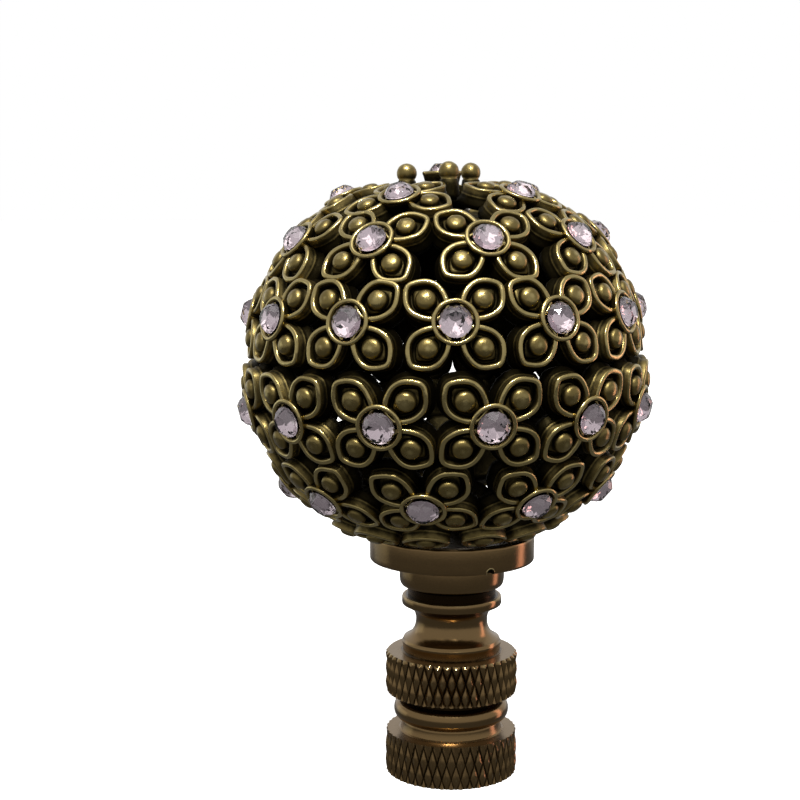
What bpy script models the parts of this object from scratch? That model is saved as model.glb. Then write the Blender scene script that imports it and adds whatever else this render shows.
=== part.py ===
"""Lamp shade finial: a pierced ball of four petal flowers on a turned and knurled brass base.

Metres, +Z up. The origin is the centre of the underside. The front of the object faces -Y.
Azimuth 0 is the front, and azimuth grows towards +X.
"""
import math

import bmesh
import bpy
from mathutils import Matrix, Vector

MM = 0.001

# Small gaps between pieces that touch in the real object
FIT_GAP = 0.30 * MM

# Turned base, as heights above the underside and radii
DISC_RADIUS = 6.87 * MM
DISC_CHAMFER = 0.25 * MM
LOWER_DISC_HEIGHT = 4.43 * MM
NECK_RADIUS = 5.14 * MM
NECK_HEIGHT = 4.07 * MM
BEAD_RADIUS = 5.97 * MM
BEAD_HEIGHT = 2.44 * MM
BEAD_SWEEP_DEG = 75.0
UPPER_DISC_HEIGHT = 4.28 * MM
FOOT_RING_RADIUS = 5.12 * MM
FOOT_RING_HEIGHT = 1.17 * MM
COVE_RADIUS = 3.70 * MM
COVE_HEIGHT = 3.75 * MM
COVE_ROUNDNESS = 0.7
FLANGE_RADIUS = 5.12 * MM
FLANGE_HEIGHT = 1.00 * MM
BORE_RADIUS = 3.10 * MM
BORE_DEPTH = 9.67 * MM
BASE_SIDES = 18
SHARP_EDGE_DEG = 35.0

# Seat cup, which stands on the flange and carries the ball
SPIGOT_RADIUS = 4.84 * MM
SPIGOT_HEIGHT = 0.75 * MM
COLLAR_RADIUS = 5.48 * MM
COLLAR_HEIGHT = 2.75 * MM
COLLAR_CHAMFER = 0.70 * MM
DRUM_RADIUS = 8.50 * MM
DRUM_HEIGHT = 2.70 * MM
DRUM_RIM_WIDTH = 0.92 * MM
DRUM_RECESS_DEPTH = 0.92 * MM
EDGE_SOFTENING = 0.20 * MM
VENT_RADIUS = 0.56 * MM
VENT_DEPTH = 1.22 * MM
VENT_AZIMUTH_DEG = 25.5
VENT_SIDES = 8

# Pierced ball, cast as two half shells that meet at a seam. The lower one is a little larger
BALL_RADIUS = 20.05 * MM
LOWER_HALF_EXCESS = 0.51 * MM
UPPER_POLE_FLATTENING = 1.93 * MM
LOWER_POLE_FLATTENING = 1.90 * MM
FLATTENING_SHARPNESS = 6
SHELL_DEPTH = 2.24 * MM
BALL_SHIFT_X = -0.83 * MM
BALL_LEAN_X_DEG = -0.8
BALL_LEAN_Y_DEG = -1.1
WEB_WIDTH = 1.12 * MM
WEB_THICKNESS = 1.02 * MM
WEB_DEPTH = 1.27 * MM
WEB_SIDE_STEP = 0.75 * MM
SEAM_LUG_WIDTH = 1.22 * MM
SEAM_LUG_COUNT = 6

# Rows of flowers from seam to pole: how many, their latitude and their petals' bearings
UPPER_COUNTS = (12, 9, 5)
UPPER_LATITUDES_DEG = (14.2, 38.1, 58.6)
UPPER_AZIMUTHS_DEG = (1.9, 14.1, 47.0)
LOWER_COUNTS = (12, 9)
LOWER_LATITUDES_DEG = (12.9, 38.8)
LOWER_AZIMUTHS_DEG = (11.3, -9.1)
POLE_SIDE_BEARINGS_DEG = (40.0, 40.0, 58.0)
SEAM_SIDE_BEARINGS_DEG = (42.0, 40.0, 16.0)
TWISTS_DEG = (0.0, -3.0, 6.0)

# Pairs of petals without a bezel, which close the lower half around the cup
PAIR_COUNT = 6
PAIR_OVERHANG = 0.39 * MM
PAIR_AZIMUTH_DEG = -27.5
PAIR_TWIST_DEG = 4.0
PAIR_SLIDE = 0.75 * MM
PAIR_WAIST = 0.90 * MM

# One flower, laid out flat on a ball of the pattern's radius. On another ball it grows with the radius
PATTERN_RADIUS = 20.05 * MM
PETAL_REACH = 5.75 * MM
PETAL_TIP_WIDTH = 1.32 * MM
PETAL_SHOULDER = 3.56 * MM
PETAL_WIDTH = 3.77 * MM
NOTCH_RADIUS = 2.34 * MM
RIM_WIDTH = 0.61 * MM
GROOVE_DEPTH = 0.66 * MM
PETAL_BEAD_REACH = 3.46 * MM
PETAL_BEAD_RISE = 0.20 * MM
BEZEL_RADIUS = 2.19 * MM
BEZEL_RISE = 0.36 * MM
SEAT_DEPTH = 0.97 * MM
STONE_RADIUS = 1.53 * MM
STONE_CROWN = 0.81 * MM
STONE_TABLE_SHARE = 0.55
STONE_SIDES = 8

# Crown of the ball: a stone on a hub with three ball headed posts around it
POST_RING_RADIUS = 3.82 * MM
POST_RADIUS = 1.00 * MM
POST_BALL_RADIUS = 1.04 * MM
POST_BALL_RISE = 0.61 * MM
POST_BALL_SWEEP_DEG = 40.0
POST_COUNT = 3
POST_AZIMUTH_DEG = 9.0

# Colours as seen in the photograph
CAST_BRASS = (0.105, 0.080, 0.028, 1.0)
TURNED_BRASS = (0.190, 0.115, 0.045, 1.0)
CLEAR_STONE = (0.820, 0.780, 0.800, 1.0)

# Heights that follow from the sizes above
NECK_BOTTOM = LOWER_DISC_HEIGHT
UPPER_DISC_BOTTOM = NECK_BOTTOM + NECK_HEIGHT
FOOT_RING_BOTTOM = UPPER_DISC_BOTTOM + UPPER_DISC_HEIGHT
COVE_BOTTOM = FOOT_RING_BOTTOM + FOOT_RING_HEIGHT
FLANGE_BOTTOM = COVE_BOTTOM + COVE_HEIGHT
BASE_TOP = FLANGE_BOTTOM + FLANGE_HEIGHT
CUP_BOTTOM = BASE_TOP + FIT_GAP
COLLAR_BOTTOM = CUP_BOTTOM + SPIGOT_HEIGHT
DRUM_BOTTOM = COLLAR_BOTTOM + COLLAR_HEIGHT
DRUM_TOP = DRUM_BOTTOM + DRUM_HEIGHT


def clear_scene():
    for thing in list(bpy.data.objects):
        bpy.data.objects.remove(thing, do_unlink=True)


def make_material(name, colour, roughness, metallic):
    material = bpy.data.materials.new(name)
    material.use_nodes = True
    shader = material.node_tree.nodes["Principled BSDF"]
    shader.inputs["Base Color"].default_value = colour
    shader.inputs["Roughness"].default_value = roughness
    shader.inputs["Metallic"].default_value = metallic
    return material


def add_object(name, mesh, material=None, collection=None):
    thing = bpy.data.objects.new(name, mesh)
    (collection or bpy.context.scene.collection).objects.link(thing)
    if material:
        mesh.materials.append(material)
    return thing


def mesh_from(bm, name):
    bmesh.ops.recalc_face_normals(bm, faces=bm.faces)
    mesh = bpy.data.meshes.new(name)
    bm.to_mesh(mesh)
    bm.free()
    return mesh


def hide_as_cutter(thing):
    thing.hide_render = True
    thing.display_type = "WIRE"


def add_boolean(target, operation, cutter=None, collection=None):
    boolean = target.modifiers.new(operation.title(), "BOOLEAN")
    boolean.operation = operation
    boolean.solver = "EXACT"
    if collection:
        boolean.operand_type = "COLLECTION"
        boolean.collection = collection
    else:
        boolean.object = cutter
    return boolean


def arc(centre_radius, centre_z, reach, start_deg, end_deg, steps):
    """Points of a circular arc in the profile plane."""
    points = []
    for k in range(steps + 1):
        angle = math.radians(start_deg + (end_deg - start_deg) * k / steps)
        points.append((centre_radius + reach * math.cos(angle), centre_z + reach * math.sin(angle)))
    return points


def turned_mesh(name, profile, sides):
    """Closed body turned about Z. The profile runs from the axis at the bottom to the axis at the top."""
    bm = bmesh.new()
    rings = []
    for radius, height in profile:
        if radius < 1e-7:
            rings.append([bm.verts.new((0.0, 0.0, height))])
            continue
        ring = []
        for k in range(sides):
            angle = 2.0 * math.pi * k / sides
            ring.append(bm.verts.new((radius * math.sin(angle), -radius * math.cos(angle), height)))
        rings.append(ring)
    for lower, upper in zip(rings, rings[1:]):
        for k in range(sides):
            after = (k + 1) % sides
            if len(lower) == 1:
                bm.faces.new((lower[0], upper[after], upper[k]))
            elif len(upper) == 1:
                bm.faces.new((lower[k], lower[after], upper[0]))
            else:
                bm.faces.new((lower[k], lower[after], upper[after], upper[k]))
    mesh = mesh_from(bm, name)
    mesh.shade_smooth()
    mesh.set_sharp_from_angle(angle=math.radians(SHARP_EDGE_DEG))
    return mesh


def disc_profile(bottom, height):
    """Outline of a knurled disc with a small chamfer on both edges."""
    edge = DISC_RADIUS - DISC_CHAMFER
    return [
        (edge, bottom),
        (DISC_RADIUS, bottom + DISC_CHAMFER),
        (DISC_RADIUS, bottom + height - DISC_CHAMFER),
        (edge, bottom + height),
    ]


def build_base(material):
    """Knurled disc, beaded neck, second knurled disc, cove and flange, turned as one piece."""
    bead_reach = BEAD_RADIUS - NECK_RADIUS
    bead_middle = NECK_BOTTOM + NECK_HEIGHT * 0.5
    bead_profile = []
    for radius, height in arc(0.0, 0.0, 1.0, -BEAD_SWEEP_DEG, BEAD_SWEEP_DEG, 3):
        bead_profile.append((NECK_RADIUS + bead_reach * radius, bead_middle + BEAD_HEIGHT * 0.5 * height))
    cove_depth = FOOT_RING_RADIUS - COVE_RADIUS
    cove_profile = []
    for k in range(1, 4):
        share = k / 4.0
        sweep = math.sin(math.pi * share) ** COVE_ROUNDNESS
        cove_profile.append((FOOT_RING_RADIUS - cove_depth * sweep, COVE_BOTTOM + COVE_HEIGHT * share))
    profile = [(0.0, 0.0)]
    profile += disc_profile(0.0, LOWER_DISC_HEIGHT)
    profile += [(NECK_RADIUS, NECK_BOTTOM)]
    profile += bead_profile
    profile += [(NECK_RADIUS, UPPER_DISC_BOTTOM)]
    profile += disc_profile(UPPER_DISC_BOTTOM, UPPER_DISC_HEIGHT)
    profile += [(FOOT_RING_RADIUS, FOOT_RING_BOTTOM), (FOOT_RING_RADIUS, COVE_BOTTOM)]
    profile += cove_profile
    profile += [(FLANGE_RADIUS, FLANGE_BOTTOM), (FLANGE_RADIUS, BASE_TOP), (0.0, BASE_TOP)]
    base = add_object("knurled_base", turned_mesh("knurled_base", profile, BASE_SIDES), material)
    bore_profile = [(0.0, -BORE_DEPTH), (BORE_RADIUS, -BORE_DEPTH)]
    bore_profile += [(BORE_RADIUS, BORE_DEPTH), (0.0, BORE_DEPTH)]
    bore = add_object("bore_cutter", turned_mesh("bore_cutter", bore_profile, BASE_SIDES))
    hide_as_cutter(bore)
    add_boolean(base, "DIFFERENCE", cutter=bore)
    return base


def build_seat_cup(material):
    """Spigot, collar and drum, with a shallow recess that the ball sits in."""
    recess_radius = DRUM_RADIUS - DRUM_RIM_WIDTH
    recess_floor = DRUM_TOP - DRUM_RECESS_DEPTH
    profile = [
        (0.0, CUP_BOTTOM),
        (SPIGOT_RADIUS, CUP_BOTTOM),
        (SPIGOT_RADIUS, COLLAR_BOTTOM),
        (COLLAR_RADIUS, COLLAR_BOTTOM + COLLAR_CHAMFER),
        (COLLAR_RADIUS, DRUM_BOTTOM),
        (DRUM_RADIUS - EDGE_SOFTENING, DRUM_BOTTOM),
        (DRUM_RADIUS, DRUM_BOTTOM + EDGE_SOFTENING),
        (DRUM_RADIUS, DRUM_TOP - EDGE_SOFTENING),
        (DRUM_RADIUS - EDGE_SOFTENING, DRUM_TOP),
        (recess_radius, DRUM_TOP),
        (recess_radius, recess_floor),
        (0.0, recess_floor),
    ]
    cup = add_object("seat_cup", turned_mesh("seat_cup", profile, BASE_SIDES), material)
    vent_profile = [(0.0, -VENT_DEPTH), (VENT_RADIUS, -VENT_DEPTH)]
    vent_profile += [(VENT_RADIUS, VENT_DEPTH), (0.0, VENT_DEPTH)]
    vent = add_object("vent_cutter", turned_mesh("vent_cutter", vent_profile, VENT_SIDES))
    azimuth = math.radians(VENT_AZIMUTH_DEG)
    vent.location = (DRUM_RADIUS * math.sin(azimuth), -DRUM_RADIUS * math.cos(azimuth), DRUM_BOTTOM)
    vent.rotation_euler = (math.radians(90.0), 0.0, azimuth)
    hide_as_cutter(vent)
    add_boolean(cup, "DIFFERENCE", cutter=vent)
    return cup


def shell_radius(half, direction):
    """Distance from the ball's centre to the petal rims, along a unit direction."""
    radius, flattening = BALL_RADIUS, UPPER_POLE_FLATTENING
    if half < 0:
        radius, flattening = BALL_RADIUS + LOWER_HALF_EXCESS, LOWER_POLE_FLATTENING
    return radius - flattening * abs(direction.z) ** FLATTENING_SHARPNESS


def shell_point(half, latitude, azimuth, east, north, height):
    """Point over the ball's surface, from arc lengths east and towards the pole of a flower's centre."""
    outward = Vector((math.cos(latitude) * math.sin(azimuth), -math.cos(latitude) * math.cos(azimuth),
                      half * math.sin(latitude)))
    eastward = Vector((math.cos(azimuth), math.sin(azimuth), 0.0))
    poleward = Vector((-math.sin(latitude) * math.sin(azimuth), math.sin(latitude) * math.cos(azimuth),
                       half * math.cos(latitude)))
    span = math.hypot(east, north)
    if span < 1e-9:
        direction = outward
    else:
        angle = span / PATTERN_RADIUS
        bearing = (eastward * east + poleward * north) / span
        direction = outward * math.cos(angle) + bearing * math.sin(angle)
    return direction * (shell_radius(half, direction) + height)


def petal_bearings(row):
    """Directions of a row's four petals, counter clockwise from east."""
    pole_side, seam_side = POLE_SIDE_BEARINGS_DEG[row], SEAM_SIDE_BEARINGS_DEG[row]
    bearings = (pole_side, 180.0 - pole_side, 180.0 + seam_side, 360.0 - seam_side)
    return [math.radians(bearing + TWISTS_DEG[row]) for bearing in bearings]


def petal_loops(bearing, slide):
    """Outline, groove loop and bead centre of one petal, which may be slid in towards the middle."""
    along = Vector((math.cos(bearing), math.sin(bearing)))
    across = Vector((-math.sin(bearing), math.cos(bearing)))
    outline = [
        along * (PETAL_SHOULDER - slide) - across * PETAL_WIDTH * 0.5,
        along * (PETAL_REACH - slide) - across * PETAL_TIP_WIDTH * 0.5,
        along * (PETAL_REACH - slide) + across * PETAL_TIP_WIDTH * 0.5,
        along * (PETAL_SHOULDER - slide) + across * PETAL_WIDTH * 0.5,
    ]
    groove = [
        along * (BEZEL_RADIUS + RIM_WIDTH - slide) - across * (PETAL_WIDTH * 0.5 - RIM_WIDTH),
        along * (PETAL_REACH - RIM_WIDTH - slide),
        along * (BEZEL_RADIUS + RIM_WIDTH - slide) + across * (PETAL_WIDTH * 0.5 - RIM_WIDTH),
    ]
    return outline, groove, along * (PETAL_BEAD_REACH - slide)


def add_loop(bm, points, height):
    verts = [bm.verts.new((point.x, point.y, height)) for point in points]
    edges = [bm.edges.new((verts[k], verts[(k + 1) % len(verts)])) for k in range(len(verts))]
    return verts, edges


def fill_fan(bm, loop, apex):
    for k in range(len(loop)):
        bm.faces.new((loop[k], loop[(k + 1) % len(loop)], apex))


def circle_points(radius, count):
    angles = [2.0 * math.pi * k / count for k in range(count)]
    return [Vector((radius * math.cos(angle), radius * math.sin(angle))) for angle in angles]


def flower_mesh(name, half, latitude, azimuth, bearings, slide=0.0, notch_radius=NOTCH_RADIUS):
    """Grooved petals with a bead each. A flower has a bezel with a conical stone seat, a pair has none."""
    bm = bmesh.new()
    outline = []
    back_outline = []
    petals = []
    for k, bearing in enumerate(bearings):
        petal_outline, groove, bead = petal_loops(bearing, slide)
        following = bearings[k + 1] if k + 1 < len(bearings) else bearings[0] + 2.0 * math.pi
        middle = (bearing + following) * 0.5
        notch = Vector((math.cos(middle), math.sin(middle))) * notch_radius
        outline += petal_outline + [notch]
        back_outline += [(petal_outline[1] + petal_outline[2]) * 0.5, notch]
        petals.append((groove, bead))
    rim_loop, edges = add_loop(bm, outline, 0.0)
    fill_edges = list(edges)
    groove_loops = []
    for groove, bead in petals:
        groove_loop, edges = add_loop(bm, groove, 0.0)
        groove_loops.append((groove_loop, bead))
        fill_edges += edges
    if not slide:
        bezel_foot, edges = add_loop(bm, circle_points(BEZEL_RADIUS, STONE_SIDES), 0.0)
        fill_edges += edges
    up = (0.0, 0.0, 1.0)
    bmesh.ops.triangle_fill(bm, use_beauty=True, use_dissolve=False, edges=fill_edges, normal=up)
    for groove_loop, bead in groove_loops:
        for vert in groove_loop:
            vert.co.z = -GROOVE_DEPTH
        apex = bm.verts.new((bead.x, bead.y, PETAL_BEAD_RISE))
        fill_fan(bm, groove_loop, apex)
    if not slide:
        bezel_top, edges = add_loop(bm, circle_points(BEZEL_RADIUS, STONE_SIDES), BEZEL_RISE)
        seat_bottom = bm.verts.new((0.0, 0.0, BEZEL_RISE - SEAT_DEPTH))
        for k in range(STONE_SIDES):
            after = (k + 1) % STONE_SIDES
            bm.faces.new((bezel_foot[k], bezel_foot[after], bezel_top[after], bezel_top[k]))
        fill_fan(bm, bezel_top, seat_bottom)
    back_loop, edges = add_loop(bm, back_outline, -SHELL_DEPTH)
    for k in range(len(bearings)):
        shoulder, tip, far_tip, far_shoulder, notch = rim_loop[5 * k:5 * k + 5]
        last_notch = rim_loop[5 * k - 1]
        back_tip, back_notch = back_loop[2 * k:2 * k + 2]
        last_back_notch = back_loop[2 * k - 1]
        bm.faces.new((last_notch, shoulder, last_back_notch))
        bm.faces.new((shoulder, back_tip, last_back_notch))
        bm.faces.new((shoulder, tip, back_tip))
        bm.faces.new((tip, far_tip, back_tip))
        bm.faces.new((far_tip, far_shoulder, back_tip))
        bm.faces.new((far_shoulder, back_notch, back_tip))
        bm.faces.new((far_shoulder, notch, back_notch))
    bm.faces.new(back_loop)
    bmesh.ops.triangulate(bm, faces=bm.faces)
    for vert in bm.verts:
        vert.co = shell_point(half, latitude, azimuth, vert.co.x, vert.co.y, vert.co.z)
    return mesh_from(bm, name)


def stone_mesh(name, half, latitude, azimuth):
    """Round foil backed stone: a pavilion point, a girdle and a crown with a flat table."""
    seat_slope = SEAT_DEPTH / BEZEL_RADIUS
    lift = FIT_GAP * math.hypot(1.0, seat_slope)
    culet_height = BEZEL_RISE - SEAT_DEPTH + lift
    girdle_height = culet_height + STONE_RADIUS * seat_slope
    bm = bmesh.new()
    culet = bm.verts.new((0.0, 0.0, culet_height))
    girdle, edges = add_loop(bm, circle_points(STONE_RADIUS, STONE_SIDES), girdle_height)
    table_points = circle_points(STONE_RADIUS * STONE_TABLE_SHARE, STONE_SIDES // 2)
    table, edges = add_loop(bm, table_points, girdle_height + STONE_CROWN)
    fill_fan(bm, girdle, culet)
    for k in range(STONE_SIDES // 2):
        first, second, third = (girdle[(2 * k + step) % STONE_SIDES] for step in range(3))
        after = (k + 1) % len(table)
        bm.faces.new((first, second, table[k]))
        bm.faces.new((second, table[after], table[k]))
        bm.faces.new((second, third, table[after]))
    bm.faces.new(table)
    bmesh.ops.triangulate(bm, faces=bm.faces)
    for vert in bm.verts:
        vert.co = shell_point(half, latitude, azimuth, vert.co.x, vert.co.y, vert.co.z)
    return mesh_from(bm, name)


def add_ball_object(name, mesh, parent, material=None, collection=None):
    thing = add_object(name, mesh, material, collection)
    thing.parent = parent
    return thing


def add_cutter(name, mesh, parent, collection):
    thing = add_ball_object(name, mesh, parent, collection=collection)
    hide_as_cutter(thing)
    return thing


def build_rows(label, half, rows, centre, parts, stone_material):
    """All flowers of one half shell and the stone in each of them. Returns each flower's web anchors."""
    anchors = []
    for row, (count, latitude, azimuth) in enumerate(rows):
        bearings = petal_bearings(row)
        for k in range(count):
            place = (half, math.radians(latitude), math.radians(azimuth + 360.0 * k / count))
            tag = f"{label}_row{row + 1}_{k + 1:02d}"
            add_cutter(f"{tag}_flower", flower_mesh(f"{tag}_flower", *place, bearings), centre, parts)
            add_ball_object(f"{tag}_stone", stone_mesh(f"{tag}_stone", *place), centre, stone_material)
            anchors.append(web_anchors(*place, bearings))
    return anchors


def pair_latitude():
    """The pairs' outer edges stand over the drum's rim, whatever the sizes of the ball and the drum."""
    edge = math.acos((DRUM_RADIUS + PAIR_OVERHANG) / (BALL_RADIUS + LOWER_HALF_EXCESS))
    return edge - PETAL_WIDTH * 0.5 / PATTERN_RADIUS


def build_petal_pairs(centre, parts):
    """Ring of petal pairs that closes the lower half around the cup. Returns each pair's web anchors."""
    anchors = []
    bearings = (math.radians(PAIR_TWIST_DEG), math.radians(180.0 + PAIR_TWIST_DEG))
    for k in range(PAIR_COUNT):
        azimuth = PAIR_AZIMUTH_DEG + 360.0 * k / PAIR_COUNT
        place = (-1, pair_latitude(), math.radians(azimuth))
        tag = f"lower_pair_{k + 1}"
        add_cutter(tag, flower_mesh(tag, *place, bearings, PAIR_SLIDE, PAIR_WAIST), centre, parts)
        anchors.append(web_anchors(*place, bearings, PAIR_SLIDE))
    return anchors


def box_mesh(name, low, high):
    """Box between two corners."""
    bm = bmesh.new()
    bmesh.ops.create_cube(bm, size=1.0)
    for vert in bm.verts:
        for axis in range(3):
            vert.co[axis] = low[axis] + (vert.co[axis] + 0.5) * (high[axis] - low[axis])
    return mesh_from(bm, name)


def web_anchors(half, latitude, azimuth, bearings, slide=0.0):
    """Points inside a flower's petals that a web can start from: one near each tip and two at each side."""
    anchors = []
    for bearing in bearings:
        along = Vector((math.cos(bearing), math.sin(bearing)))
        across = Vector((-math.sin(bearing), math.cos(bearing)))
        near_tip = (PETAL_REACH - PETAL_TIP_WIDTH, 0.0)
        for reach, side in (near_tip, (PETAL_SHOULDER, WEB_SIDE_STEP), (PETAL_SHOULDER, -WEB_SIDE_STEP)):
            point = along * (reach - slide) + across * side
            anchors.append(shell_point(half, latitude, azimuth, point.x, point.y, -WEB_DEPTH))
    return anchors


def nearest_pair(first, second):
    """Closest two anchors of two flowers, as distance and both points."""
    return min(((a - b).length, tuple(a), tuple(b)) for a in first for b in second)


def shortest_webs(flowers):
    """The fewest and shortest webs that make one casting of all the flowers."""
    pairs = []
    for k, first in enumerate(flowers):
        for j in range(k):
            pairs.append(nearest_pair(first, flowers[j]) + (k, j))
    group = list(range(len(flowers)))
    webs = []
    for distance, start, end, k, j in sorted(pairs):
        if group[k] == group[j]:
            continue
        joined, kept = group[k], group[j]
        group = [kept if member == joined else member for member in group]
        webs.append((Vector(start), Vector(end)))
    return webs


def add_web(name, start, end, centre, parts):
    """Short bar inside the shell, from one petal to another."""
    outward = ((start + end) * 0.5).normalized()
    along = (end - start).normalized()
    across = outward.cross(along).normalized()
    rise = along.cross(across)
    web = box_mesh("web", (0.0, -WEB_WIDTH * 0.5, -WEB_THICKNESS * 0.5),
                   ((end - start).length, WEB_WIDTH * 0.5, WEB_THICKNESS * 0.5))
    turn = Matrix((along, across, rise)).transposed().to_4x4()
    web.transform(Matrix.Translation(start) @ turn)
    add_cutter(name, web, centre, parts)


def build_crown(centre, parts, stone_material):
    """Hub with its stone, and three arms that each carry a ball headed post."""
    surface = shell_radius(1, Vector((0.0, 0.0, 1.0)))
    hub_bottom = surface - SHELL_DEPTH
    bezel_top = surface + BEZEL_RISE
    hub_profile = [
        (0.0, hub_bottom),
        (BEZEL_RADIUS, hub_bottom),
        (BEZEL_RADIUS, bezel_top),
        (0.0, bezel_top - SEAT_DEPTH),
    ]
    add_cutter("pole_hub", turned_mesh("pole_hub", hub_profile, STONE_SIDES), centre, parts)
    ball_middle = surface + POST_BALL_RISE
    post_profile = [(0.0, hub_bottom), (POST_RADIUS, hub_bottom)]
    post_profile += arc(0.0, ball_middle, POST_BALL_RADIUS, -POST_BALL_SWEEP_DEG, POST_BALL_SWEEP_DEG, 2)
    post_profile += [(0.0, ball_middle + POST_BALL_RADIUS)]
    hub_anchor = Vector((0.0, 0.0, surface - WEB_DEPTH))
    for k in range(POST_COUNT):
        azimuth = math.radians(POST_AZIMUTH_DEG + 360.0 * k / POST_COUNT)
        place = Vector((POST_RING_RADIUS * math.sin(azimuth), -POST_RING_RADIUS * math.cos(azimuth), 0.0))
        add_web(f"pole_arm_{k + 1}", hub_anchor, hub_anchor + place, centre, parts)
        post = add_cutter(f"pole_post_{k + 1}", turned_mesh("pole_post", post_profile, 6), centre, parts)
        post.location = place
    stone = stone_mesh("crown_stone", 1, math.radians(90.0), 0.0)
    add_ball_object("crown_stone", stone, centre, stone_material)
    return [hub_anchor]


def build_seam_lugs(label, half, seam_row, centre, parts):
    """Lugs under the seam side petals, where one half shell is glued to the other."""
    bearing = petal_bearings(0)[3]
    latitude = math.radians(seam_row[1])
    reach = PETAL_REACH - PETAL_TIP_WIDTH
    for k in range(SEAM_LUG_COUNT):
        azimuth = math.radians(seam_row[2] + 360.0 * k / SEAM_LUG_COUNT)
        east, north = reach * math.cos(bearing), reach * math.sin(bearing)
        tip = shell_point(half, latitude, azimuth, east, north, -WEB_DEPTH)
        low = (-SEAM_LUG_WIDTH * 0.5, -WEB_THICKNESS * 0.5, min(half * FIT_GAP * 0.5, tip.z))
        high = (SEAM_LUG_WIDTH * 0.5, WEB_THICKNESS * 0.5, max(half * FIT_GAP * 0.5, tip.z))
        lug = add_cutter(f"{label}_lug_{k + 1}", box_mesh("seam_lug", low, high), centre, parts)
        lug.location = (tip.x, tip.y, 0.0)
        lug.rotation_euler = (0.0, 0.0, math.atan2(tip.x, -tip.y))


def build_half_shell(name, centre, parts, material):
    """One half of the ball as one casting: its first flower with all the other parts joined on."""
    first = parts.objects[0]
    parts.objects.unlink(first)
    bpy.context.scene.collection.objects.link(first)
    first.name = name
    first.hide_render = False
    first.display_type = "TEXTURED"
    first.data.materials.append(material)
    add_boolean(first, "UNION", collection=parts)


def ball_centre_height():
    """The outer edge of the lower half's petal pairs stands a gap above the drum's rim."""
    rest = shell_point(-1, pair_latitude(), 0.0, 0.0, PETAL_WIDTH * 0.5, 0.0)
    lean = math.radians(math.hypot(BALL_LEAN_X_DEG, BALL_LEAN_Y_DEG))
    return DRUM_TOP + FIT_GAP + DRUM_RADIUS * math.sin(lean) - rest.z


def build_ball(cast_material, stone_material):
    centre = bpy.data.objects.new("ball_centre", None)
    bpy.context.scene.collection.objects.link(centre)
    centre.location = (BALL_SHIFT_X, 0.0, ball_centre_height())
    centre.rotation_euler = (math.radians(BALL_LEAN_X_DEG), math.radians(BALL_LEAN_Y_DEG), 0.0)
    halves = (
        ("upper", 1, list(zip(UPPER_COUNTS, UPPER_LATITUDES_DEG, UPPER_AZIMUTHS_DEG))),
        ("lower", -1, list(zip(LOWER_COUNTS, LOWER_LATITUDES_DEG, LOWER_AZIMUTHS_DEG))),
    )
    for label, half, rows in halves:
        parts = bpy.data.collections.new(f"{label}_parts")
        bpy.context.scene.collection.children.link(parts)
        anchors = build_rows(label, half, rows, centre, parts, stone_material)
        build_seam_lugs(label, half, rows[0], centre, parts)
        if half > 0:
            anchors.append(build_crown(centre, parts, stone_material))
        else:
            anchors += build_petal_pairs(centre, parts)
        for k, (start, end) in enumerate(shortest_webs(anchors), start=1):
            add_web(f"{label}_web_{k:02d}", start, end, centre, parts)
        build_half_shell(f"{label}_filigree_half", centre, parts, cast_material)


def build():
    clear_scene()
    cast_brass = make_material("antique_cast_brass", CAST_BRASS, 0.38, 1.0)
    turned_brass = make_material("turned_brass", TURNED_BRASS, 0.34, 1.0)
    clear_stone = make_material("clear_stone", CLEAR_STONE, 0.05, 0.0)
    build_base(turned_brass)
    build_seat_cup(turned_brass)
    build_ball(cast_brass, clear_stone)


build()
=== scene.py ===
"""Looks of the lamp shade finial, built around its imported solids."""

import math

import bmesh
import bpy
import numpy as np
from mathutils import Matrix, Vector, noise


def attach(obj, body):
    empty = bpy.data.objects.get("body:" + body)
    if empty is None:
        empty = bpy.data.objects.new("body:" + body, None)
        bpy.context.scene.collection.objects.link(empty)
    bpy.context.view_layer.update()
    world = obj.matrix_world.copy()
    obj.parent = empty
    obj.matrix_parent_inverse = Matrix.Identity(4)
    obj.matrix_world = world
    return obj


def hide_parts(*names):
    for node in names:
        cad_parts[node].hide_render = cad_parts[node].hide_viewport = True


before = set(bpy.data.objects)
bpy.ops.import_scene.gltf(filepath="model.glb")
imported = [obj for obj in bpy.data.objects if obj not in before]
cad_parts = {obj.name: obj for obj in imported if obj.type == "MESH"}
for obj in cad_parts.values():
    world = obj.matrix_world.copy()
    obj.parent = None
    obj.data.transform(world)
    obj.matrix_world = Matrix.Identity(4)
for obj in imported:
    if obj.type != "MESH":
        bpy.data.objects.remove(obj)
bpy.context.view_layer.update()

MM = 0.001

# Turned base, heights above the underside and radii, in millimetres
DISC_RADIUS = 6.87
LOWER_DISC_TOP = 4.43
UPPER_DISC_BOTTOM = 8.50
UPPER_DISC_TOP = 12.78
NECK_RADIUS = 5.14
BEAD_RADIUS = 5.97
BEAD_MIDDLE = 6.62
BEAD_HALF_HEIGHT = 1.02
FOOT_RING_RADIUS = 5.12
FOOT_RING_TOP = 13.95
FLANGE_RADIUS = 5.17
FLANGE_BOTTOM = 17.70
BASE_TOP = 18.70
BORE_RADIUS = 3.10
BORE_DEPTH = 9.67
THREAD_PITCH = 25.4 / 27.0
THREAD_DEPTH = 0.34
THREAD_UNCUT = 0.90
THREAD_END_GAP = 0.35
THREAD_FADE = 0.80
THREAD_ROWS_PER_TURN = 4.0
BEAD_SWEEP_DEG = 78.0
BEAD_STEPS = 12.0
BASE_SHARP_DEG = 32.0

# Cove between the foot ring and the flange: share of its height, and radius
COVE_PROFILE = ((0.05, 4.98), (0.10, 4.62), (0.15, 4.36), (0.22, 4.12), (0.30, 3.93), (0.40, 3.79),
                (0.50, 3.72), (0.58, 3.70), (0.68, 3.74), (0.77, 3.83), (0.85, 4.02), (0.91, 4.30),
                (0.96, 4.66))

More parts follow.
